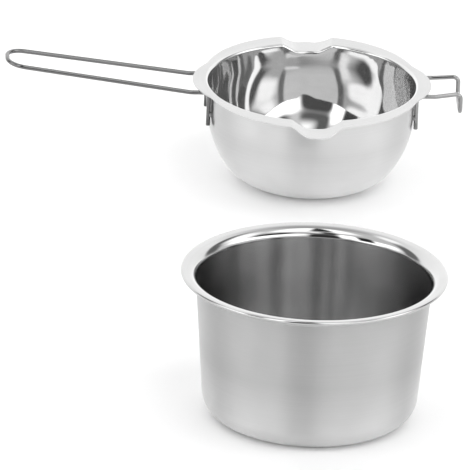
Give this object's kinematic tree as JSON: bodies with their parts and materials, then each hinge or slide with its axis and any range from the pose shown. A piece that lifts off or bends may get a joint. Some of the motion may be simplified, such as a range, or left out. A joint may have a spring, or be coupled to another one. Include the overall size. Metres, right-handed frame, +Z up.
{
  "type": "double boiler",
  "caption": "Melting set: deep round steel pot with flared mouth, and a shallow steel bowl with pour spouts, a long wire handle and a wire hook, standing behind it.",
  "frame": {"origin": "middle of the pot's flat base, on the surface that the set stands on", "axes": "+Z up, +Y from the pot to the bowl that stands behind it, +X towards the side of the bowl that has the hook"},
  "size_m": [0.2647, 0.5064, 0.0855],
  "materials": {
    "pot_steel": "satin outside, brushed round inside, polished flare and rolled rim",
    "bowl_steel": "satin outside and on the flange, mirror polished inside",
    "wire_steel": "drawn wire, polished",
    "weld_steel": "resistance weld, cleaned"
  },
  "bodies": {
    "pot": {"pot_shell": "pot_steel"},
    "bowl": {"bowl_shell": "bowl_steel", "handle_wire": "wire_steel", "hook_wire": "wire_steel", "handle_welds": "weld_steel", "hook_welds": "weld_steel"}
  },
  "joints": [
    {"name": "bowl_lift", "type": "slide", "parent": "pot", "child": "bowl", "axis": [0, 0, 1], "range_m": [0, 0.12]}
  ]
}
